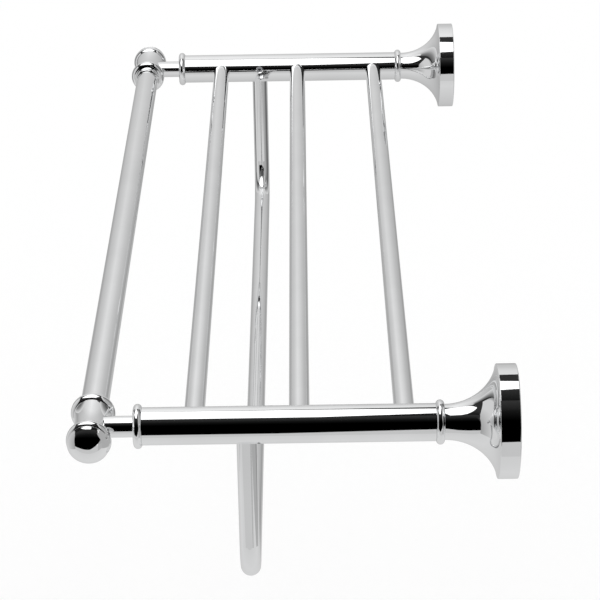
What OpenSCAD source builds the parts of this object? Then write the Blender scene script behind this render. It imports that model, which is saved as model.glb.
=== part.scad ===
// Wall-mounted shelf of round bars with a bent towel loop hung under it.
// The wall is the plane y = 0, the shelf stands out towards -y and z = 0 is the level of the arms' centre lines.
// The origin is on the wall, halfway between the two arms.

/* [Overall] */
// Distance between the centre lines of the two arms
arm_spacing = 610; // [300:5:900]
// Distance from the rear bead ring to the centre line of the rear shelf bar
rear_margin = 17.5; // [17.5:0.5:60]
// Distance between neighbouring shelf bars
bar_pitch = 61; // [40:1:80]
// Distance from the centre line of the front shelf bar to the front bead ring
front_margin = 29.5; // [26:0.5:60]
// Length of neck that shows between the front bead ring and the centre line of the front rail
neck_len = 24.5; // [18:0.5:40]

/* [Arms] */
// Outside diameter of an arm tube
arm_d = 22; // [20:0.5:26]
// Wall thickness of an arm tube
arm_wall = 2; // [1.25:0.25:2.5]
// Length of the threaded plug in the rear end of an arm tube
rear_plug_len = 9; // [6:0.5:10]
// Length of the threaded plug in the front end of an arm tube
front_plug_len = 16; // [12:0.5:18]

/* [Bead rings] */
// Width of a bead ring along the arm
ring_w = 5; // [3.5:0.25:7]
// Height that a bead stands out of the arm tube
ring_rise = 2; // [1.25:0.25:3]

/* [Wall flanges] */
// Diameter of a wall flange at its rim
flange_d = 66.5; // [56:0.5:80]
// Length of a wall flange from the wall to the rear bead ring
flange_len = 41.5; // [34:0.5:55]
// Depth of the straight rim against the wall
rim_w = 11.5; // [8:0.5:12]
// Thickness of the flange's rim and flare
flange_wall = 2.2; // [1.6:0.1:2.6]
// Step from the arm tube down to the flange's throat
throat_step = 0.6; // [0:0.1:1.5]
// Angle that the flare has turned through where it meets the rim
flare_angle = 80; // [70:1:86]
// Width of the bevel on the front edge of the rim
rim_bevel = 0.6; // [0.4:0.1:1.4]
// Thickness of the flange's closed end, which the arm is bolted to
throat_web = 4; // [3:0.5:6]

/* [Wall brackets] */
// Distance between the two wall screws of a bracket
screw_pitch = 36; // [30:1:40]
// Diameter of a wall screw hole
screw_hole_d = 5; // [4:0.1:6]
// Thickness of the bracket's plate
bracket_plate = 2.5; // [1.5:0.25:3.5]
// Thickness of the ring that the flange slips over
bracket_ring = 3; // [2:0.25:4]

/* [Front rail] */
// Outside diameter of the front rail
rail_d = 16.5; // [14:0.25:18]
// Wall thickness of the front rail
rail_wall = 1.2; // [0.8:0.1:1.6]
// Length of the threaded insert in each end of the rail
insert_len = 14; // [10:0.5:25]

/* [Corner fittings] */
// Diameter of the neck between the bead ring and the hub
neck_d = 12.5; // [11:0.25:14]
// Diameter of the hub that lies along the rail
hub_d = 19; // [17:0.25:20]
// Width of the round bead at each end of the hub, which stands out by half of this
bead_w = 7; // [5:0.25:8]
// Distance from an arm's centre line to the middle of a bead
bead_offset = 16.7; // [15:0.1:20]
// Distance that the collar reaches over the rail from its bead
collar_len = 6.8; // [5:0.1:9]
// Thickness of the collar round the rail
collar_wall = 1.25; // [1:0.05:2]
// Depth of the rail in its collar
rail_seat = 10; // [6:0.5:12]
// Diameter of a finial's edge
finial_d = 24.2; // [22:0.1:26]
// Distance that a finial reaches past its bead
finial_len = 7.6; // [6.5:0.1:9]
// Radius of a finial's dome
dome_r = 14.4; // [13:0.1:16]
// Width of the groove between a finial's dome and its bead
finial_groove = 0.8; // [0.5:0.1:1.5]

/* [Shelf bars] */
// Outside diameter of a shelf bar
bar_d = 12; // [8:0.25:14]
// Wall thickness of a shelf bar
bar_wall = 1; // [0.6:0.1:2]

/* [Towel loop] */
// Outside diameter of the towel loop
loop_d = 12; // [8:0.25:13]
// Wall thickness of the towel loop
loop_wall = 1.2; // [0.8:0.1:2]
// Distance from the arms' centre lines down to the centre line of the towel loop
loop_drop = 107; // [80:1:160]
// Radius of the towel loop's bends, at the tube's centre line
loop_bend = 28; // [20:1:50]

/* [Screws] */
// Diameter of the rail studs and of the bolts that hold the arms
bolt_d = 6; // [5:0.5:7]
// Diameter of a bolt's head
bolt_head_d = 10; // [9:0.5:12]
// Height of a bolt's head
bolt_head_h = 4; // [3:0.5:6]
// Depth of thread in a plug, an insert or a finial
thread_len = 8; // [5:0.5:9]
// Diameter of the spigot that screws the neck into the arm
spigot_d = 8; // [6:0.5:10]
// Diameter of the grub screws that hold the towel loop
loop_screw_d = 5; // [3:0.5:5]
// Height of the loop's grub screws above the arms' centre lines
loop_screw_z = 2.5; // [0:0.25:3]
// Diameter of the grub screws that hold the flanges on their brackets
flange_screw_d = 4; // [2.5:0.5:4]
// Depth of a grub screw's outer end below the surface round it
screw_sink = 0.7; // [0.3:0.1:1]

/* [Hidden] */
$fn = 96;
fit_gap = 0.1;         // clearance round a piece that slips into another
end_gap = 0.3;         // clearance at the end of a piece in a blind seat
slip_gap = 0.25;       // clearance between a flange and its wall bracket
flare_steps = 16;      // straight stretches that the flare's curve is made of
rim_back_bevel = 0.6;  // bevel on the rim's edge against the wall
groove_depth = 1;      // depth of the groove that the flange's grub screw bites in
point_r = 0.3;         // radius of the flat end of a grub screw's point
bead_bulge = 0.1;      // how much further the bead's curve reaches than the ring's half width
countersink = 0.4;     // bevel round a grub screw's hole in an arm
boss_wall = 3;         // material round a wall screw hole
boss_h = 5;            // height of a wall screw boss above the wall
hex_ratio = 0.5;       // width of a hexagon socket's corners as a share of its screw
hex_depth = 2;         // depth of a hexagon socket
cut = 1;               // length that a cutting shape runs past what it cuts

arm_bore_d = arm_d - 2 * arm_wall;
rail_bore_d = rail_d - 2 * rail_wall;
arm_x = arm_spacing / 2;

// Distances from the wall, in order towards the front
arm_back = flange_len + ring_w;
rear_bar = arm_back + rear_margin;
middle_bar = rear_bar + bar_pitch;
front_bar = middle_bar + bar_pitch;
loop_place = (middle_bar + front_bar) / 2;
arm_front = front_bar + front_margin;
neck_back = arm_front + ring_w;
rail_place = neck_back + neck_len;

// Distances from the arm's centre line along the rail
hub_end = bead_offset - bead_w / 2;
bead_end = bead_offset + bead_w / 2;
collar_end = bead_end + collar_len;
rail_end = collar_end - rail_seat;
finial_end = bead_end + finial_len;

// Depth past an arm's centre line at which a round end meets the arm's inner wall
function seat_depth(d) = sqrt(pow(arm_bore_d / 2 - end_gap, 2) - pow(d / 2, 2));
bar_seat = seat_depth(bar_d);
loop_seat = seat_depth(loop_d);

// Distance of the arm's surface from its centre line at a height z, sideways
function arm_side(z) = sqrt(pow(arm_d / 2, 2) - z * z);

// The flare is part of an ellipse, from the throat to the front edge of the rim
throat_r = arm_d / 2 - throat_step;
rim_r = flange_d / 2;
flare_a = (flange_len - rim_w) / sin(flare_angle);
flare_b = (rim_r - rim_bevel - throat_r) / (1 - cos(flare_angle));
function flare_point(t) = [throat_r + flare_b * (1 - cos(t)), flange_len - flare_a * sin(t)];
function flare_normal(t) = [flare_a * cos(t), flare_b * sin(t)] / norm([flare_a * cos(t), flare_b * sin(t)]);
flare_turns = [for (i = [0:flare_steps]) flare_angle * i / flare_steps];

cavity_r = rim_r - flange_wall;
bracket_r = cavity_r - slip_gap;
bracket_h = rim_w - flange_wall - cut;
flange_screw_place = bracket_h / 2;

// The flange's grub screw has a point with the same slope as the groove that it bites in
groove_slope = flange_screw_d / 2 / groove_depth;
flange_screw_point = (flange_screw_d / 2 - fit_gap - point_r) / groove_slope;

// Each arm is drawn round x = 0 with the other arm towards -x, then put on its side
module on_right() translate([arm_x, 0, 0]) children();
module on_left() mirror([1, 0, 0]) on_right() children();

// Round bar along the arm, between two distances from the wall
module rod_y(d, from, to) translate([0, -from, 0]) rotate([90, 0, 0]) cylinder(d = d, h = to - from);

// Round bar along the shelf at the front rail's place
module rod_x(d, from, to) translate([from, -rail_place, 0]) rotate([0, 90, 0]) cylinder(d = d, h = to - from);

// Turned shape about the arm's axis, from a profile of radius and distance from the wall
module turned() rotate([90, 0, 0]) rotate_extrude() children();

// Hexagon socket, cut downwards from z = 0
module hex_socket(d) translate([0, 0, -hex_depth]) cylinder(d = d * hex_ratio * 2 / sqrt(3), h = hex_depth + cut, $fn = 6);

// Grub screw with its outer end at z = 0 and a point of the given length at its lower end
module grub_screw(d, len, point) difference() {
    rotate_extrude() polygon([
        [0, -len], [d / 2 - fit_gap - point * groove_slope, -len],
        [d / 2 - fit_gap, point - len], [d / 2 - fit_gap, 0], [0, 0]
    ]);
    hex_socket(d);
}

// Plug with a threaded hole right through, between two distances from the wall
module threaded_plug(outer, inner, from, to) difference() {
    rod_y(outer - 2 * fit_gap, from, to);
    rod_y(inner + 2 * fit_gap, from - cut, to + cut);
}

// Plate with a ring that the flange slips over, and two bosses for the wall screws
module wall_bracket() color("silver") difference() {
    union() {
        turned() union() {
            square([bracket_r - bracket_ring / 2, bracket_plate]);
            polygon([
                [bracket_r - bracket_ring, 0], [bracket_r, 0],
                [bracket_r, flange_screw_place - flange_screw_d / 2],
                [bracket_r - groove_depth, flange_screw_place],
                [bracket_r, flange_screw_place + flange_screw_d / 2],
                [bracket_r, bracket_h], [bracket_r - bracket_ring, bracket_h]
            ]);
        }
        for (z = [-1, 1] * screw_pitch / 2)
            translate([0, 0, z]) rod_y(screw_hole_d + 2 * boss_wall, 0, boss_h);
    }
    for (z = [-1, 1] * screw_pitch / 2)
        translate([0, 0, z]) rod_y(screw_hole_d, -cut, boss_h + cut);
}

// Trumpet-shaped shell from the wall to the rear bead ring
module flange() color("whitesmoke") difference() {
    turned() polygon(concat(
        [[0, 0], [rim_r - rim_back_bevel, 0], [rim_r, rim_back_bevel], [rim_r, rim_w - rim_bevel]],
        [for (i = [flare_steps:-1:0]) flare_point(flare_turns[i])],
        [[0, flange_len]]
    ));
    turned() polygon(concat(
        [[0, -cut], [cavity_r, -cut]],
        [for (i = [flare_steps:-1:0]) flare_inside(flare_turns[i])],
        [[0, flange_len - throat_web]]
    ));
    rod_y(bolt_d + 2 * fit_gap, flange_len - throat_web - cut, flange_len + cut);
    flange_screw_axis() translate([0, 0, -flange_wall - cut]) cylinder(d = flange_screw_d, h = flange_wall + 2 * cut);
}

// Inner side of the flare, kept inside the rim's wall and behind the closed end
function flare_inside(t) = let (p = flare_point(t) - flange_wall * flare_normal(t))
    [min(cavity_r, p[0]), min(flange_len - throat_web, p[1])];

// Line of the flange's grub screw: z = 0 is the rim's lowest point, and z points down out of the rim
module flange_screw_axis() translate([0, -flange_screw_place, -rim_r]) rotate([180, 0, 0]) children();

module flange_grub_screw() color("gray") flange_screw_axis() translate([0, 0, -screw_sink])
    grub_screw(flange_screw_d, flange_wall + slip_gap + groove_depth - end_gap - screw_sink, flange_screw_point);

// Bolt from inside the flange through the bead ring into the rear plug
module arm_bolt() color("gray") difference() {
    union() {
        rod_y(bolt_d, flange_len - throat_web, arm_back + thread_len);
        rod_y(bolt_head_d, flange_len - throat_web - bolt_head_h, flange_len - throat_web);
    }
    translate([0, -(flange_len - throat_web - bolt_head_h), 0]) rotate([-90, 0, 0]) hex_socket(bolt_head_d);
}

// Ring with a half-round bead, from a distance to the wall, bored for what passes through it
module bead_ring(from, bore) color("whitesmoke") difference() {
    turned() translate([0, from + ring_w / 2]) intersection() {
        union() {
            translate([0, -ring_w / 2]) square([arm_d / 2 + ring_rise - ring_w / 2, ring_w]);
            translate([arm_d / 2 + ring_rise - ring_w / 2 - bead_bulge, 0]) circle(d = ring_w + 2 * bead_bulge);
        }
        translate([0, -ring_w / 2]) square([arm_d, ring_w]);
    }
    rod_y(bore + 2 * fit_gap, from - cut, from + ring_w + cut);
}

module rear_ring() bead_ring(flange_len, bolt_d);
module front_ring() bead_ring(arm_front, spigot_d);

module rear_plug() color("goldenrod") threaded_plug(arm_bore_d, bolt_d, arm_back, arm_back + rear_plug_len);
module front_plug() color("goldenrod") threaded_plug(arm_bore_d, spigot_d, arm_front - front_plug_len, arm_front);

// Tube with three seats for shelf bars, a seat for the towel loop and a hole for the loop's grub screw
module arm_tube() color("whitesmoke") difference() {
    rod_y(arm_d, arm_back, arm_front);
    rod_y(arm_bore_d, arm_back - cut, arm_front + cut);
    for (place = [rear_bar, middle_bar, front_bar])
        translate([0, -place, 0]) rotate([0, -90, 0]) cylinder(d = bar_d + 2 * fit_gap, h = arm_d);
    translate([0, -loop_place, 0]) rotate([180, 0, 0]) cylinder(d = loop_d + 2 * fit_gap, h = arm_d);
    loop_screw_axis() {
        translate([0, 0, -2 * arm_wall]) cylinder(d = loop_screw_d, h = 3 * arm_wall);
        translate([0, 0, -countersink])
            cylinder(d1 = loop_screw_d, d2 = loop_screw_d + 2 * countersink + 2 * cut, h = countersink + cut);
    }
}

// Line of the loop's grub screw: z = 0 is the arm's surface, and z points out of the arm's inner side
module loop_screw_axis() translate([-arm_side(loop_screw_z), -loop_place, loop_screw_z]) rotate([0, -90, 0]) children();

module loop_grub_screw() color("gray") loop_screw_axis() translate([0, 0, -screw_sink])
    grub_screw(loop_screw_d, arm_side(loop_screw_z) - screw_sink - loop_d / 2 - fit_gap, 0);

// Neck with its threaded spigot, and the hub that it carries along the rail
module neck_fitting() color("whitesmoke") difference() {
    union() {
        rod_y(spigot_d, arm_front - thread_len, neck_back + cut);
        rod_y(neck_d, neck_back, rail_place);
        rod_x(hub_d, -hub_end, hub_end);
    }
    rod_x(bolt_d + 2 * fit_gap, -hub_end - cut, hub_end + cut);
}

// Shape turned about the rail's line, from a profile of radius and distance from the arm's centre line
module turned_x() translate([0, -rail_place, 0]) rotate([0, 90, 0]) rotate_extrude() children();

// Profile of the round bead at the hub's end
module bead_profile() {
    translate([0, hub_end]) square([hub_d / 2, bead_w]);
    intersection() {
        translate([hub_d / 2, bead_offset]) circle(d = bead_w);
        translate([0, hub_end]) square([hub_d, bead_w]);
    }
}

// Profile of a collar's sleeve round the rail, with a rounded end
module collar_profile() {
    translate([0, bead_offset]) square([rail_d / 2 + collar_wall, collar_end - collar_wall - bead_offset]);
    translate([0, bead_offset]) square([rail_d / 2, collar_end - bead_offset]);
    intersection() {
        translate([rail_d / 2, collar_end - collar_wall]) circle(r = collar_wall);
        translate([0, bead_offset]) square([hub_d, collar_end - bead_offset]);
    }
}

// Bead with a collar that the rail slips into
module rail_collar() color("whitesmoke") mirror([1, 0, 0]) turned_x() difference() {
    union() {
        bead_profile();
        collar_profile();
    }
    square([bolt_d / 2 + fit_gap, collar_end + cut]);
    translate([0, rail_end]) square([rail_d / 2 + fit_gap, rail_seat + cut]);
}

// Bead with a shallow dome in front of it and a blind threaded hole
module finial() color("whitesmoke") turned_x() difference() {
    union() {
        bead_profile();
        translate([0, bead_offset]) square([hub_d / 2, bead_w / 2 + finial_groove + cut]);
        intersection() {
            translate([0, finial_end - dome_r]) circle(r = dome_r);
            translate([0, bead_end + finial_groove]) square([finial_d / 2, finial_len]);
        }
    }
    translate([0, hub_end - cut]) square([bolt_d / 2 + fit_gap, thread_len + end_gap + cut]);
}

// Stud through the hub that draws the finial, the hub, the collar and the rail together
module rail_stud() color("gray") rod_x(bolt_d, -rail_end - thread_len, hub_end + thread_len);

module rail_insert() color("goldenrod") difference() {
    rod_x(rail_bore_d - 2 * fit_gap, -rail_end - insert_len, -rail_end);
    rod_x(bolt_d + 2 * fit_gap, -rail_end - insert_len - cut, 0);
}

// Tube along the shelf at a distance from the wall, the same length each side of the middle
module cross_tube(d, wall, place, half) translate([-half, -place, 0]) rotate([0, 90, 0]) difference() {
    cylinder(d = d, h = 2 * half);
    translate([0, 0, -cut]) cylinder(d = d - 2 * wall, h = 2 * half + 2 * cut);
}

module front_rail() color("whitesmoke") cross_tube(rail_d, rail_wall, rail_place, arm_x - rail_end);
module shelf_bar(place) color("whitesmoke") cross_tube(bar_d, bar_wall, place, arm_x + bar_seat);

// Solid round shape of the towel loop: a straight run, two bends and two hangers that end inside the arms
module loop_shape(d, over) {
    run = arm_x - loop_bend;
    translate([-run, 0, -loop_drop]) rotate([0, 90, 0]) cylinder(d = d, h = 2 * run);
    for (side = [0, 1]) mirror([side, 0, 0]) {
        translate([run, 0, loop_bend - loop_drop]) rotate([90, 0, 0]) rotate([0, 0, -90])
            rotate_extrude(angle = 90) translate([loop_bend, 0]) circle(d = d);
        translate([arm_x, 0, loop_bend - loop_drop]) cylinder(d = d, h = loop_drop - loop_bend + loop_seat + over);
    }
}

module towel_loop() color("whitesmoke") translate([0, -loop_place, 0]) difference() {
    loop_shape(loop_d, 0);
    loop_shape(loop_d - 2 * loop_wall, cut);
}

on_left() wall_bracket();  // wall_bracket_left
on_right() wall_bracket();  // wall_bracket_right
on_left() flange();  // flange_left
on_right() flange();  // flange_right
on_left() flange_grub_screw();  // flange_grub_screw_left
on_right() flange_grub_screw();  // flange_grub_screw_right
on_left() arm_bolt();  // arm_bolt_left
on_right() arm_bolt();  // arm_bolt_right
on_left() rear_ring();  // rear_ring_left
on_right() rear_ring();  // rear_ring_right
on_left() rear_plug();  // rear_plug_left
on_right() rear_plug();  // rear_plug_right
on_left() arm_tube();  // arm_tube_left
on_right() arm_tube();  // arm_tube_right
on_left() front_plug();  // front_plug_left
on_right() front_plug();  // front_plug_right
on_left() front_ring();  // front_ring_left
on_right() front_ring();  // front_ring_right
on_left() neck_fitting();  // neck_fitting_left
on_right() neck_fitting();  // neck_fitting_right
on_left() rail_collar();  // rail_collar_left
on_right() rail_collar();  // rail_collar_right
on_left() finial();  // finial_left
on_right() finial();  // finial_right
on_left() rail_stud();  // rail_stud_left
on_right() rail_stud();  // rail_stud_right
on_left() rail_insert();  // rail_insert_left
on_right() rail_insert();  // rail_insert_right
front_rail();
shelf_bar(front_bar);  // front_shelf_bar
shelf_bar(middle_bar);  // middle_shelf_bar
shelf_bar(rear_bar);  // rear_shelf_bar
towel_loop();
on_left() loop_grub_screw();  // loop_grub_screw_left
on_right() loop_grub_screw();  // loop_grub_screw_right
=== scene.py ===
import math
import bmesh
import bpy
from mathutils import Matrix, Vector


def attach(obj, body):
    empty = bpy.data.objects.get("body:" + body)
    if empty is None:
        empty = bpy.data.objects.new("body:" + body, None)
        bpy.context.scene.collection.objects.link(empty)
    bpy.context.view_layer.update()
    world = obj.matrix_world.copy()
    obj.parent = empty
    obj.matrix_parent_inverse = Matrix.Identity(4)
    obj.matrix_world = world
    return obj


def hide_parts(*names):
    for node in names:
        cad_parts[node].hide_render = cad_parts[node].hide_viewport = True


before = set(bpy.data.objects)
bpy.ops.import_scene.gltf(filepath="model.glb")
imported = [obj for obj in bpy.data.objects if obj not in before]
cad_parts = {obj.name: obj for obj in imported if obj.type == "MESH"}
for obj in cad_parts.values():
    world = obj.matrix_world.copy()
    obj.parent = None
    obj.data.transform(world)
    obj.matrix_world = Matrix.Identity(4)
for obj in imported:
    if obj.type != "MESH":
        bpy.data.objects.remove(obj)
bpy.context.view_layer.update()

scene = bpy.context.scene

# Camera at the photograph's place, in metres and in the frame's directions, with its sensor and lens
# in millimetres
CAMERA_PLACE = (1.50384, -0.11831, 0.64307)
CAMERA_RIGHT = (0.00289731, 0.99987994, -0.01522216)
CAMERA_FORWARD = (-0.90481059, -0.00386049, -0.42579678)
SENSOR = 36.0
LENS = 141.62

# Sizes of the turned pieces in millimetres, as in the part's source but for the hub's waist.
# Places along an arm are measured from the wall, places along the rail from an arm's centre line.
ARM_X = 305.0
ARM_R = 11.0
ARM_FRONT = 215.5
RING_W = 5.0
RING_RISE = 2.0
BOLT_BORE = 3.1
SPIGOT_BORE = 4.1

# Wall flange
RIM_R = 33.25
RIM_W = 11.5
RIM_BEVEL = 0.6
FLANGE_LEN = 41.5
FLANGE_WALL = 2.2
THROAT_R = 10.4
THROAT_WEB = 4.0
FLARE_ANGLE = math.radians(80)
FLANGE_SCREW_PLACE = 4.15
FLANGE_SCREW_R = 2.0

# Corner fitting: neck, hub that widens from its waist to its ends, and the beads beside it
RAIL_PLACE = 245.0
NECK_R = 6.25
NECK_SHORT = 5.0
SPIGOT_R = 4.0
SPIGOT_LEN = 8.0
WAIST_R = 9.7
SPOOL_R = 11.0
HUB_R = 9.5
BEAD_R = 3.5
BEAD_FACE_R = 4.0
BEAD_OFFSET = 16.7

# Collar on the rail, and finial
RAIL_R = 8.25
RAIL_END = 17.0
COLLAR_END = 27.0
COLLAR_WALL = 1.25
COLLAR_SLACK = 0.1
FINIAL_END = 27.8
FINIAL_R = 12.1
FINIAL_EDGE = 0.25
FINIAL_HOLE = 8.3
DOME_R = 14.4
GROOVE = 0.8

HUB_END = BEAD_OFFSET - BEAD_R
BEAD_END = BEAD_OFFSET + BEAD_R
NECK_BACK = ARM_FRONT + RING_W

# Fineness of the turned meshes
TURNS = 192
ARC_STEPS = 40
CORNER_STEPS = 5
EDGE_STEPS = 12
FLARE_STEPS = 72
SHARP = math.radians(32)

# Places of the light tent's walls in metres, along x
FRONT = 0.78
BACK = -1.6

# Heights of the tent's floor, the top of its back wall, the brow over its opening and its roof's front edge
LOW = -0.5
HIGH = 3.0
BROW = 0.64
ROOF = 0.74

# Half of the tent's width, and how far the cards outside it reach
WIDE = 2.2
FAR = 4.0

# Glow of black cloth
BLACK = 0.03


def arc(along, radius, size, start, end, steps=ARC_STEPS):
    """Points of an arc, each as its place along the axis and its distance from the axis"""
    angles = [start + (end - start) * i / steps for i in range(steps + 1)]
    return [(along + size * math.cos(t), radius + size * math.sin(t)) for t in angles]


def softened(corners):
    """Closed profile in which each corner (along, radius, rounding) becomes a small arc"""
    points = []
    for i, (along, radius, size) in enumerate(corners):
        here = Vector((along, radius))
        if not size:
            points.append((along, radius))
            continue
        back = (Vector(corners[i - 1][:2]) - here).normalized()
        ahead = (Vector(corners[(i + 1) % len(corners)][:2]) - here).normalized()
        half = back.angle(ahead) / 2
        middle = here + (back + ahead).normalized() * size / math.sin(half)
        first = here + back * size / math.tan(half) - middle
        last = here + ahead * size / math.tan(half) - middle
        start = math.atan2(first.y, first.x)
        turn = math.remainder(math.atan2(last.y, last.x) - start, 2 * math.pi)
        points += arc(middle.x, middle.y, size, start, start + turn, CORNER_STEPS)
    return points


def turned_mesh(name, profile, place, closed):
    """Mesh turned from a profile; place gives the position of a point beside the axis"""
    bm = bmesh.new()
    on_axis = 1e-4
    rings = []
    # A point on the axis gives one vertex, which closes the mesh there
    for along, radius in profile:
        count = TURNS if radius > on_axis else 1
        angles = [2 * math.pi * k / count for k in range(count)]
        points = [place(along, radius * math.cos(t), radius * math.sin(t)) for t in angles]
        rings.append([bm.verts.new(point) for point in points])
    following = rings[1:] + rings[:1] if closed else rings[1:]
    for first, second in zip(rings, following):
        for k in range(TURNS):
            corners = [first[k % len(first)], first[(k + 1) % len(first)]]
            corners += [second[(k + 1) % len(second)], second[k % len(second)]]
            bm.faces.new(list(dict.fromkeys(corners)))
    bmesh.ops.recalc_face_normals(bm, faces=bm.faces)
    mesh = bpy.data.meshes.new(name)
    bm.to_mesh(mesh)
    bm.free()
    mesh.shade_smooth()
    mesh.set_sharp_from_angle(angle=SHARP)
    return mesh


def add_turned(name, profile, place, closed=True):
    obj = bpy.data.objects.new(name, turned_mesh(name, profile, place, closed))
    scene.collection.objects.link(obj)
    return obj


def beside_arm(side):
    """Positions round an arm's axis, measured along it from the wall"""
    return lambda along, u, v: (
        side * ARM_X / 1000 + u / 1000,
        -along / 1000,
        v / 1000,
    )


def beside_rail(side, way):
    """Positions round the rail's axis, measured from an arm's centre line outwards or inwards"""
    return lambda along, u, v: (
        side * (ARM_X + way * along) / 1000,
        (u - RAIL_PLACE) / 1000,
        v / 1000,
    )


def below_rim(side):
    """Positions round the flange screw's axis, measured upwards from the rim's lowest line"""
    return lambda along, u, v: (
        (side * ARM_X + u) / 1000,
        (v - FLANGE_SCREW_PLACE) / 1000,
        (along - RIM_R) / 1000,
    )


def stand_for(obj, node, material):
    """Gives a piece its material and its body, and hides the solid that it replaces"""
    obj.data.materials.append(material)
    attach(obj, "root")
    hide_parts(node)


def flare_point(turn):
    """Point on the flare, from its throat at a turn of 0 to its rim at the flare's full angle"""
    reach = (FLANGE_LEN - RIM_W) / math.sin(FLARE_ANGLE)
    spread = (RIM_R - RIM_BEVEL - THROAT_R) / (1 - math.cos(FLARE_ANGLE))
    return FLANGE_LEN - reach * math.sin(turn), THROAT_R + spread * (1 - math.cos(turn))


def flare_inside(turn):
    """Inner side of the flare, behind the closed end and within the rim"""
    step = 0.001
    here = Vector(flare_point(turn))
    slope = Vector(flare_point(turn + step)) - here
    normal = Vector((slope.y, -slope.x)).normalized()
    inner = here - normal * FLANGE_WALL
    return min(FLANGE_LEN - THROAT_WEB, inner.x), min(RIM_R - FLANGE_WALL, inner.y)


def flange_profile():
    """Rim with softened edges, flare, bolt hole and the flare's inner side"""
    turns = [FLARE_ANGLE * i / FLARE_STEPS for i in range(FLARE_STEPS + 1)]
    cavity = RIM_R - FLANGE_WALL
    # The lead only gives the mouth's edge its direction
    lead = (RIM_W - 1, cavity, 0)
    mouth_edge = (0, cavity, 0.25)
    back_edge = (0, RIM_R, 0.5)
    front_edge = (RIM_W, RIM_R, 0.45)
    flare_start = (*flare_point(turns[-2]), 0)
    outer = softened([lead, mouth_edge, back_edge, front_edge, flare_start])[1:]
    outer += [flare_point(t) for t in reversed(turns[:-2])]
    inner = [(FLANGE_LEN, BOLT_BORE), (FLANGE_LEN - THROAT_WEB, BOLT_BORE)]
    inner += [flare_inside(t) for t in turns]
    return outer + inner


def screw_hole_profile():
    """Cutter for the screw's hole in the rim, with a small chamfer at its mouth"""
    chamfer = 0.2
    past = 1.0
    mouth = [(-past, 0), (-past, FLANGE_SCREW_R + chamfer + past), (chamfer, FLANGE_SCREW_R)]
    return mouth + [(FLANGE_WALL + past, FLANGE_SCREW_R), (FLANGE_WALL + past, 0)]


def cut(obj, cutter):
    """Takes the cutter's shape out of an object's mesh, then deletes the cutter"""
    hole = obj.modifiers.new("hole", "BOOLEAN")
    hole.object = cutter
    hole.operation = "DIFFERENCE"
    hole.solver = "EXACT"
    depsgraph = bpy.context.evaluated_depsgraph_get()
    whole = obj.data
    obj.data = bpy.data.meshes.new_from_object(obj.evaluated_get(depsgraph))
    obj.modifiers.clear()
    bpy.data.objects.remove(cutter)
    bpy.data.meshes.remove(whole)


def round_rim_normals(mesh, side):
    """Points the normals on the rim straight out from the arm's axis, also round the screw's hole"""
    level = 0.05
    slack = 0.1
    normals = [Vector((0, 0, 0)) for _ in mesh.loops]
    for face in mesh.polygons:
        arms = [mesh.vertices[i].co - Vector((side * ARM_X / 1000, 0, 0)) for i in face.vertices]
        radii = [math.hypot(arm.x, arm.z) for arm in arms]
        if abs(face.normal.y) > level or min(radii) < (RIM_R - slack) / 1000:
            continue
        for loop, arm in zip(face.loop_indices, arms):
            normals[loop] = Vector((arm.x, 0, arm.z)).normalized()
    mesh.normals_split_custom_set(normals)


def flange(side, name, material):
    obj = add_turned("flange_shell_" + name, flange_profile(), beside_arm(side))
    cut(obj, add_turned("cutter", screw_hole_profile(), below_rim(side), closed=False))
    round_rim_normals(obj.data, side)
    stand_for(obj, "flange_" + name, material)


def ring_profile(start, bore):
    """Ring with a half-round rim that stands over the arm tube"""
    middle = start + RING_W / 2
    bead = arc(middle, ARM_R + RING_RISE - RING_W / 2, RING_W / 2, 0, math.pi)
    return [(start, bore), (start + RING_W, bore)] + bead


def arm_rings(side, name, material):
    rear = add_turned("rear_bead_" + name, ring_profile(FLANGE_LEN, BOLT_BORE), beside_arm(side))
    stand_for(rear, "rear_ring_" + name, material)
    front = add_turned("front_bead_" + name, ring_profile(ARM_FRONT, SPIGOT_BORE), beside_arm(side))
    stand_for(front, "front_ring_" + name, material)


def bead_arc():
    """Round bead, wider towards the hub, whose end it meets higher up"""
    centre = HUB_R + BEAD_R - BEAD_FACE_R
    start = math.pi - math.asin((SPOOL_R - centre) / BEAD_FACE_R)
    inner = arc(BEAD_OFFSET, centre, BEAD_FACE_R, start, math.pi / 2)
    return inner[:-1] + arc(BEAD_OFFSET, HUB_R, BEAD_R, math.pi / 2, 0)


def hub_profile():
    """Hub with its bore, narrowest in its middle"""
    reaches = [HUB_END * (1 - 2 * i / ARC_STEPS) for i in range(ARC_STEPS + 1)]
    waist = [(reach, WAIST_R + (SPOOL_R - WAIST_R) * (reach / HUB_END) ** 2) for reach in reaches]
    return [(-HUB_END, BOLT_BORE), (HUB_END, BOLT_BORE)] + waist


def neck_profile():
    """Spigot in the arm's front plug, and the neck up to a point inside the hub"""
    start = ARM_FRONT - SPIGOT_LEN
    end = RAIL_PLACE - NECK_SHORT
    spigot = [(start, 0), (start, SPIGOT_R), (NECK_BACK, SPIGOT_R)]
    return spigot + [(NECK_BACK, NECK_R), (end, NECK_R), (end, 0)]


def collar_profile():
    """Bead, thin sleeve over the rail with a rounded end, and the rail's seat"""
    top = RAIL_R + COLLAR_WALL
    seat = RAIL_R + COLLAR_SLACK
    sleeve = arc(COLLAR_END - COLLAR_WALL, RAIL_R, COLLAR_WALL, math.pi / 2, 0)
    inside = [(COLLAR_END, seat), (RAIL_END, seat), (RAIL_END, BOLT_BORE), (HUB_END, BOLT_BORE)]
    return bead_arc() + [(BEAD_END, top)] + sleeve + inside


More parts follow.
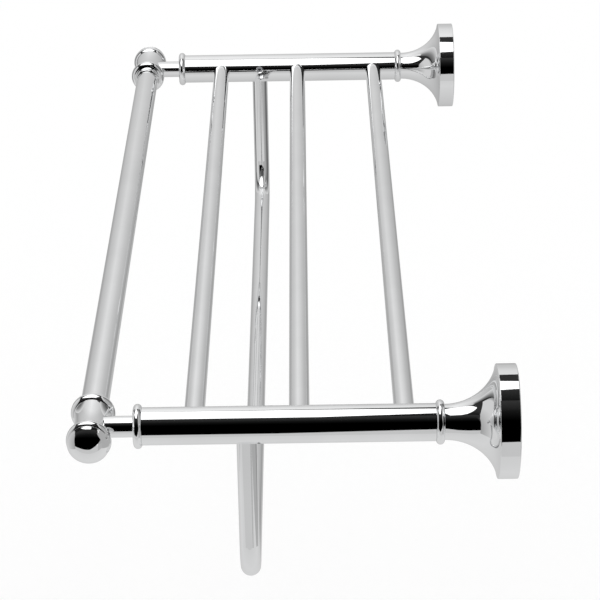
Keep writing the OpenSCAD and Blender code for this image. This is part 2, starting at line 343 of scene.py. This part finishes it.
def finial_profile():
    """Blind hole, bead, groove, and a dome that starts at a softened edge"""
    hole = HUB_END + FINIAL_HOLE
    inside = [(hole, 0), (hole, BOLT_BORE), (HUB_END, BOLT_BORE)]
    shoulder = BEAD_END + GROOVE
    edge = FINIAL_R - FINIAL_EDGE
    lean = math.asin(edge / DOME_R)
    rim = arc(shoulder + FINIAL_EDGE, edge, FINIAL_EDGE, math.pi, lean, EDGE_STEPS)
    dome = arc(FINIAL_END - DOME_R, 0, DOME_R, lean, 0)
    dome[-1] = (FINIAL_END, 0)
    return inside + bead_arc() + [(shoulder, HUB_R)] + rim + dome


def corner_fitting(side, name, material):
    hub = add_turned("hub_" + name, hub_profile(), beside_rail(side, 1))
    stand_for(hub, "neck_fitting_" + name, material)
    neck = add_turned("neck_" + name, neck_profile(), beside_arm(side), closed=False)
    stand_for(neck, "neck_fitting_" + name, material)
    collar = add_turned("collar_" + name, collar_profile(), beside_rail(side, -1))
    stand_for(collar, "rail_collar_" + name, material)
    finial = add_turned("finial_knob_" + name, finial_profile(), beside_rail(side, 1), closed=False)
    stand_for(finial, "finial_" + name, material)


def make_camera():
    forward = Vector(CAMERA_FORWARD).normalized()
    right = Vector(CAMERA_RIGHT)
    right = (right - forward * right.dot(forward)).normalized()
    up = right.cross(forward)
    data = bpy.data.cameras.new("camera")
    data.lens = LENS
    data.sensor_width = SENSOR
    data.sensor_fit = "HORIZONTAL"
    data.clip_start = 0.05
    data.clip_end = 60.0
    camera = bpy.data.objects.new("camera", data)
    scene.collection.objects.link(camera)
    rotation = Matrix((right, up, -forward)).transposed()
    camera.matrix_world = Matrix.Translation(CAMERA_PLACE) @ rotation.to_4x4()
    scene.camera = camera


def curve_of_stops(nodes, stops):
    """Curve node that runs straight from each stop (place, glow) to the next"""
    ramp = nodes.new("ShaderNodeFloatCurve")
    ramp.mapping.use_clip = False
    curve = ramp.mapping.curves[0]
    curve.points[0].location = stops[0]
    curve.points[1].location = stops[-1]
    for stop in stops[1:-1]:
        curve.points.new(*stop)
    for point in curve.points:
        point.handle_type = "VECTOR"
    ramp.mapping.update()
    return ramp


def weaker_at_sides(nodes, links, across, sides):
    """Factor that is 1 in the middle of a card and falls to sides at its two side edges"""
    middle = 0.5
    fold = nodes.new("ShaderNodeMath")
    fold.operation = "PINGPONG"
    fold.inputs[1].default_value = middle
    fall = nodes.new("ShaderNodeMapRange")
    fall.inputs["From Max"].default_value = middle
    fall.inputs["To Min"].default_value = sides
    fall.inputs["To Max"].default_value = 1.0
    links.new(across, fold.inputs[0])
    links.new(fold.outputs[0], fall.inputs["Value"])
    return fall.outputs[0]


def glow_material(name, stops, sides):
    """Glow that follows stops along a card, and weakens to its two side edges"""
    material = bpy.data.materials.new(name)
    material.use_nodes = True
    nodes = material.node_tree.nodes
    links = material.node_tree.links
    nodes.clear()
    place = nodes.new("ShaderNodeUVMap")
    place.uv_map = "card"
    split = nodes.new("ShaderNodeSeparateXYZ")
    ramp = curve_of_stops(nodes, stops)
    product = nodes.new("ShaderNodeMath")
    product.operation = "MULTIPLY"
    glow = nodes.new("ShaderNodeEmission")
    out = nodes.new("ShaderNodeOutputMaterial")
    links.new(place.outputs["UV"], split.inputs[0])
    links.new(split.outputs["Y"], ramp.inputs["Value"])
    links.new(ramp.outputs[0], product.inputs[0])
    links.new(weaker_at_sides(nodes, links, split.outputs["X"], sides), product.inputs[1])
    links.new(product.outputs[0], glow.inputs["Strength"])
    links.new(glow.outputs[0], out.inputs["Surface"])
    return material


def card(name, corners, stops, sides=1.0):
    """Studio card that only reflections see; its glow runs from its first corner to its last"""
    mesh = bpy.data.meshes.new(name)
    mesh.from_pydata(corners, [], [tuple(range(len(corners)))])
    layer = mesh.uv_layers.new(name="card")
    first, second, last = Vector(corners[0]), Vector(corners[1]), Vector(corners[-1])
    across, along = second - first, last - first
    for i, corner in enumerate(corners):
        reach = Vector(corner) - first
        share_across = reach.dot(across) / across.length_squared
        share_along = reach.dot(along) / along.length_squared
        layer.data[i].uv = (share_across, share_along)
    obj = bpy.data.objects.new(name, mesh)
    scene.collection.objects.link(obj)
    mesh.materials.append(glow_material(name, stops, sides))
    obj.visible_camera = False
    obj.visible_diffuse = False
    obj.visible_shadow = False
    obj.visible_transmission = False


def even(glow):
    return [(0, glow), (1, glow)]


def on_roof(y, way):
    """Point on the sloping plane of the softbox, at a way up its slope away from the camera"""
    return 0.58 - 0.898 * way, y, 0.72 + 0.441 * way


def on_left(x, z):
    """Point on the left wall, which stands further out near the camera"""
    return x, -0.955 - 0.186 * x, z


def on_right(x, z):
    """Point on the right wall, which stands further out near the camera"""
    return x, 0.50 + 0.1 * x, z


def make_softbox():
    """Bright window of the tent, with the corner of black cloth that lies over its right side"""
    front_edge = [(-0.40, 0.0), (-0.11, 0.0)]
    right_edge = [(-0.05, 0.11), (0.07, 0.36), (0.22, 0.56), (0.20, 0.66), (0.10, 0.81), (-0.112, 1.18)]
    rear_edge = [(-0.62, 1.18), (-0.85, 1.02), (-1.05, 0.86), (-1.25, 0.68)]
    left_edge = [(-1.10, 0.50), (-0.85, 0.26), (-0.60, 0.07)]
    outline = front_edge + right_edge + rear_edge + left_edge
    card("softbox", [on_roof(y, way) for y, way in outline], even(1.5))
    fold = on_roof(-0.112, 1.18)
    hem = (-0.52, 0.30, 0.72)
    card("dark_corner", [fold, on_roof(0.28, 0.62), hem], even(BLACK))
    card("dark_seam", [fold, hem, (-0.52, -0.35, 1.27)], even(BLACK))


def make_dark_front():
    """Black cloth round the camera: the opening, the brow over it and the roof round the softbox"""
    lower_edge = [(-1.30, -0.30), (-0.60, -0.21), (-0.20, -0.215), (-0.05, -0.145), (0.085, -0.085)]
    right_edge = [(0.343, 0.04), (0.52, 0.13), (0.41, 0.36), (0.39, BROW)]
    opening = lower_edge + right_edge + [(-1.30, BROW)]
    card("dark_opening", [(FRONT, y, z) for y, z in opening], [(0, 0), (0.6, 0), (0.85, 0.008), (1, 0.018)])
    brow = [(FRONT, -1.60, BROW), (FRONT, 0.45, BROW), (0.60, 0.45, ROOF), (0.60, -1.60, ROOF)]
    card("dark_brow", brow, [(0, 0.018), (1, 0.035)])
    roof = [(0.62, -1.60, ROOF), (0.62, 0.40, ROOF), (-0.53, 0.40, 1.30), (-0.53, -1.60, 1.30)]
    card("dark_roof", roof, [(0, 0.006), (0.3, BLACK), (1, BLACK)])


def make_side_walls():
    """Grey side walls, with black cloth behind the left one"""
    top = [(0.85, LOW), (0.79, -0.2), (0.70, 0.10), (0.61, 0.34), (0.43, 0.48), (0.24, 0.52), (0.05, 0.53)]
    end = [(-0.26, 0.51), (-0.38, 0.03), (-0.40, LOW)]
    fade = [(0, 0.34), (0.3, 0.50), (0.6, 0.66), (0.89, 0.66), (0.95, 0.34), (1, 0.26)]
    card("left_wall", [on_left(x, z) for x, z in top + end], fade)
    black = [(1.4, -1.7, -0.1), (-0.75, -1.3, -0.1), (-0.75, -1.3, 1.5), (1.4, -1.7, 1.5)]
    card("dark_left", black, even(BLACK))
    right = [(1.0, LOW), (0.98, 0.3), (0.75, 0.62), (0.2, 0.85), (-0.42, 0.85), (-0.45, LOW)]
    fade = [(0, 0.42), (0.6, 0.42), (0.85, 0.2), (1, 0.08)]
    card("right_wall", [on_right(x, z) for x, z in right], fade)


def make_rear_walls():
    """Pale wall across from the camera, palest at its top, with a roof and a darker wall on each side"""
    wall = [(BACK, -2.6, -1.3), (BACK, 1.8, -1.3), (BACK, 1.8, HIGH), (BACK, -2.6, HIGH)]
    fade = [(0, 0.22), (0.2, 0.43), (0.31, 0.62), (0.44, 0.70), (0.58, 0.86), (1, 0.98)]
    card("back_wall", wall, fade, 0.52)
    roof = [(BACK, -WIDE, HIGH), (BACK, WIDE, HIGH), (-0.55, WIDE, 1.31), (-0.55, -WIDE, 1.31)]
    card("rear_roof", roof, even(0.85))
    fade = [(0, 0.05), (0.05, 0.14), (0.2, 0.24), (0.45, 0.50), (0.8, 0.66), (1, 0.7)]
    for name, near, far in (("rear_left", -0.90, -1.5), ("rear_right", 0.45, 0.95)):
        card(name, [(-0.40, near, LOW), (-0.40, near, 0.9), (BACK, far, 1.8), (BACK, far, LOW)], fade)


def make_low_cards():
    """Grey floor of the tent, and grey cloth beside and below the camera's opening"""
    floor = [(1.1, -WIDE, LOW), (1.1, WIDE, LOW), (BACK, WIDE, LOW), (BACK, -WIDE, LOW)]
    card("tent_floor", floor, [(0, 0.62), (0.3, 0.70), (0.41, 0.66), (0.62, 0.56), (1, 0.40)])
    x = FRONT + 0.02
    card("front_right", [(x, 0.2, LOW), (x, FAR, LOW), (x, FAR, 0.9), (x, 0.2, 0.9)], even(0.40))
    card("front_low", [(x, -FAR, LOW), (x, FAR, LOW), (x, FAR, -0.1), (x, -FAR, -0.1)], even(0.58))


def make_tent():
    """Light tent round the object, laid out as the photograph's chrome mirrors it"""
    make_dark_front()
    make_softbox()
    make_side_walls()
    make_rear_walls()
    make_low_cards()
    card("sky", [(FAR, -FAR, FAR), (FAR, FAR, FAR), (-FAR, FAR, FAR), (-FAR, -FAR, FAR)], even(0.65))


def floor_material():
    """White from above and clear from below"""
    material = bpy.data.materials.new("floor")
    material.use_nodes = True
    nodes = material.node_tree.nodes
    links = material.node_tree.links
    nodes.clear()
    out = nodes.new("ShaderNodeOutputMaterial")
    side = nodes.new("ShaderNodeNewGeometry")
    pale = nodes.new("ShaderNodeBsdfDiffuse")
    pale.inputs["Color"].default_value = (1, 1, 1, 1)
    clear = nodes.new("ShaderNodeBsdfTransparent")
    mix = nodes.new("ShaderNodeMixShader")
    links.new(side.outputs["Backfacing"], mix.inputs[0])
    links.new(pale.outputs[0], mix.inputs[1])
    links.new(clear.outputs[0], mix.inputs[2])
    links.new(mix.outputs[0], out.inputs["Surface"])
    return material


def make_floor():
    """Pale floor below the object; the tent's own floor shows in the reflections instead"""
    size = 6.0
    mesh = bpy.data.meshes.new("floor")
    corners = [(-size, -size, LOW), (size, -size, LOW), (size, size, LOW), (-size, size, LOW)]
    mesh.from_pydata(corners, [], [(0, 1, 2, 3)])
    mesh.materials.append(floor_material())
    floor = bpy.data.objects.new("floor", mesh)
    scene.collection.objects.link(floor)
    floor.visible_glossy = False


def make_world():
    """Even white light from all round"""
    world = bpy.data.worlds.new("studio")
    scene.world = world
    world.use_nodes = True
    world.node_tree.nodes["Background"].inputs["Color"].default_value = (1, 1, 1, 1)
    world.node_tree.nodes["Background"].inputs["Strength"].default_value = 1.0


def noise(material, scale, detail):
    """Noise that stays with the object, as the value of a new node"""
    nodes = material.node_tree.nodes
    place = nodes.new("ShaderNodeTexCoord")
    texture = nodes.new("ShaderNodeTexNoise")
    texture.inputs["Scale"].default_value = scale
    texture.inputs["Detail"].default_value = detail
    material.node_tree.links.new(place.outputs["Object"], texture.inputs["Vector"])
    return texture.outputs["Fac"]


def metal(name, dull, bright, roughness, grain, relief):
    """Metal whose tone, roughness and surface vary a little over the piece"""
    material = bpy.data.materials.new(name)
    material.use_nodes = True
    nodes = material.node_tree.nodes
    links = material.node_tree.links
    shader = nodes["Principled BSDF"]
    shader.inputs["Metallic"].default_value = 1.0
    colours = nodes.new("ShaderNodeValToRGB")
    colours.color_ramp.elements[0].position = 0.3
    colours.color_ramp.elements[0].color = (*dull, 1)
    colours.color_ramp.elements[1].position = 0.7
    colours.color_ramp.elements[1].color = (*bright, 1)
    links.new(noise(material, grain, 5.0), colours.inputs["Fac"])
    links.new(colours.outputs["Color"], shader.inputs["Base Color"])
    haze = nodes.new("ShaderNodeMapRange")
    haze.inputs["From Min"].default_value = 0.35
    haze.inputs["From Max"].default_value = 0.65
    haze.inputs["To Min"].default_value = roughness[0]
    haze.inputs["To Max"].default_value = roughness[1]
    links.new(noise(material, grain * 0.4, 3.0), haze.inputs["Value"])
    links.new(haze.outputs[0], shader.inputs["Roughness"])
    bump = nodes.new("ShaderNodeBump")
    bump.inputs["Strength"].default_value = relief
    bump.inputs["Distance"].default_value = 0.0001
    links.new(noise(material, grain * 12, 4.0), bump.inputs["Height"])
    links.new(bump.outputs["Normal"], shader.inputs["Normal"])
    return material


def chrome():
    return metal("chrome", (0.90, 0.905, 0.91), (0.94, 0.945, 0.95), (0.02, 0.045), 35.0, 0.02)


def bracket_zinc():
    return metal("bracket_zinc", (0.50, 0.51, 0.53), (0.68, 0.69, 0.72), (0.30, 0.45), 160.0, 0.6)


def screw_steel():
    return metal("screw_steel", (0.38, 0.39, 0.41), (0.50, 0.51, 0.53), (0.18, 0.30), 300.0, 0.4)


def insert_brass():
    return metal("insert_brass", (0.68, 0.50, 0.22), (0.82, 0.64, 0.32), (0.20, 0.34), 260.0, 0.4)


def dress_solids(polish):
    """Chrome for every solid but the brackets and fasteners, which a word in their names tells apart"""
    looks = {"wall_bracket": bracket_zinc()}
    looks.update(dict.fromkeys(("screw", "bolt", "stud"), screw_steel()))
    looks.update(dict.fromkeys(("plug", "insert"), insert_brass()))
    for node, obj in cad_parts.items():
        look = next((material for word, material in looks.items() if word in node), polish)
        for slot in obj.material_slots:
            slot.material = look


scene.view_settings.view_transform = "Standard"
make_camera()
make_world()
make_floor()
make_tent()
polish = chrome()
dress_solids(polish)
for side, name in ((-1, "left"), (1, "right")):
    flange(side, name, polish)
    arm_rings(side, name, polish)
    corner_fitting(side, name, polish)
